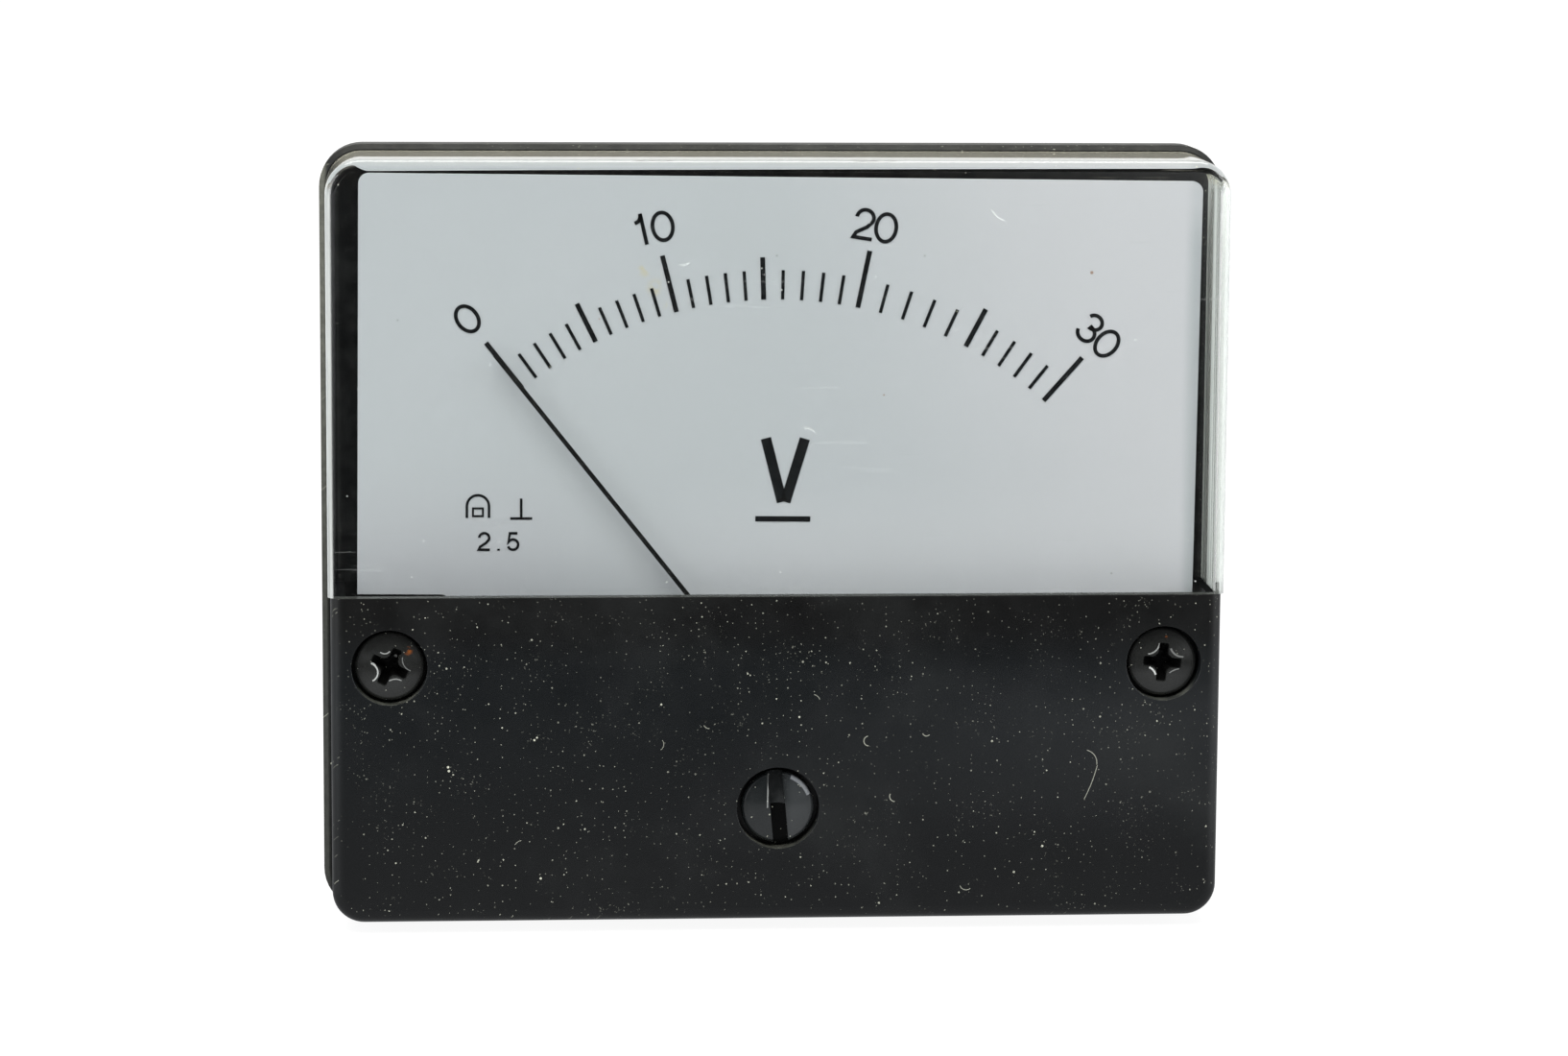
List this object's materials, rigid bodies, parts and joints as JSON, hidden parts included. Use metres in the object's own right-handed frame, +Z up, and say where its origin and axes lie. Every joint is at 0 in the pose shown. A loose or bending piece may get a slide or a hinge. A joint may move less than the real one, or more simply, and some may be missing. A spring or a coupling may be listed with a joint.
{
  "type": "analog panel meter",
  "caption": "Rectangular moving-coil voltmeter for a panel: clear window over a 0 to 30 V dial, black lower cover with zero adjuster, round drum and studs behind.",
  "frame": {"origin": "centre of the four panel studs on the panel plane, the flange's rear face, which is also the drum's axis", "axes": "+Y out of the back along the drum and studs, -Y out of the front, +X to the right seen from the front, +Z up"},
  "size_m": [0.07, 0.054, 0.06],
  "materials": {
    "black_moulding": "satin moulded phenolic black",
    "clear_window": "clear moulded polystyrene",
    "black_screw": "black oxide, glossy",
    "black_adjuster": "polished black moulding",
    "dial_paint": "pale blue-grey satin paint",
    "black_ink": "matt printing ink",
    "pointer_paint": "matt black paint on aluminium",
    "steel": "turned and stamped steel",
    "magnet_alloy": "ground magnet alloy",
    "aluminium": "stamped and cast aluminium",
    "brass": "turned brass",
    "plated_brass": "nickel plate over brass",
    "copper_wire": "enamelled copper wire",
    "bronze": "rolled bronze strip",
    "resistor_body": "lacquered blue-grey film resistor",
    "tinned_wire": "tinned copper wire",
    "red_wire": "red plastic sleeve over wire"
  },
  "bodies": {
    "housing": {"base_housing": "black_moulding", "window_cover": "clear_window", "front_cover": "black_moulding", "cover_screw_left": "black_screw", "cover_screw_right": "black_screw", "dial_plate": "dial_paint", "scale_marks": "black_ink", "dial_screws": "plated_brass", "core_magnet": "magnet_alloy", "core_spacers": "aluminium", "return_ring": "steel", "front_bridge": "aluminium", "rear_bridge": "aluminium", "front_jewel_screw": "brass", "rear_jewel_screw": "brass", "spring_anchor": "bronze", "panel_studs": "plated_brass", "terminal_studs": "plated_brass", "terminal_nuts": "plated_brass", "series_resistor": "resistor_body", "resistor_leads": "tinned_wire", "return_wire": "red_wire"},
    "zero_adjuster": {"zero_screw": "black_adjuster", "zero_retainer": "steel"},
    "zero_lever": {"zero_arm": "bronze"},
    "moving_coil": {"coil_former": "aluminium", "coil_winding": "copper_wire", "front_staff": "steel", "rear_staff": "steel", "pointer": "pointer_paint", "balance_weights": "brass", "front_hairspring": "bronze", "rear_hairspring": "bronze"}
  },
  "joints": [
    {"name": "zero_turn", "type": "hinge", "parent": "housing", "child": "zero_adjuster", "pos_m": [0, -0.011, -0.02035], "axis": [0, 1, 0], "range_deg": [-90, 90]},
    {"name": "lever_turn", "type": "hinge", "parent": "housing", "child": "zero_lever", "pos_m": [0, -0.0045, -0.0129], "axis": [0, 1, 0], "range_deg": [-4.4, 4.4]},
    {"name": "pointer_swing", "type": "hinge", "parent": "zero_lever", "child": "moving_coil", "pos_m": [0, 0.008, -0.0129], "axis": [0, 1, 0], "range_deg": [-6, 83], "stiffness_Nm_per_rad": 0.00002, "deforming": ["front_hairspring", "rear_hairspring"]}
  ],
  "couplings": [
    {"joint": "lever_turn", "follows": "zero_turn", "ratio": -0.0486}
  ]
}
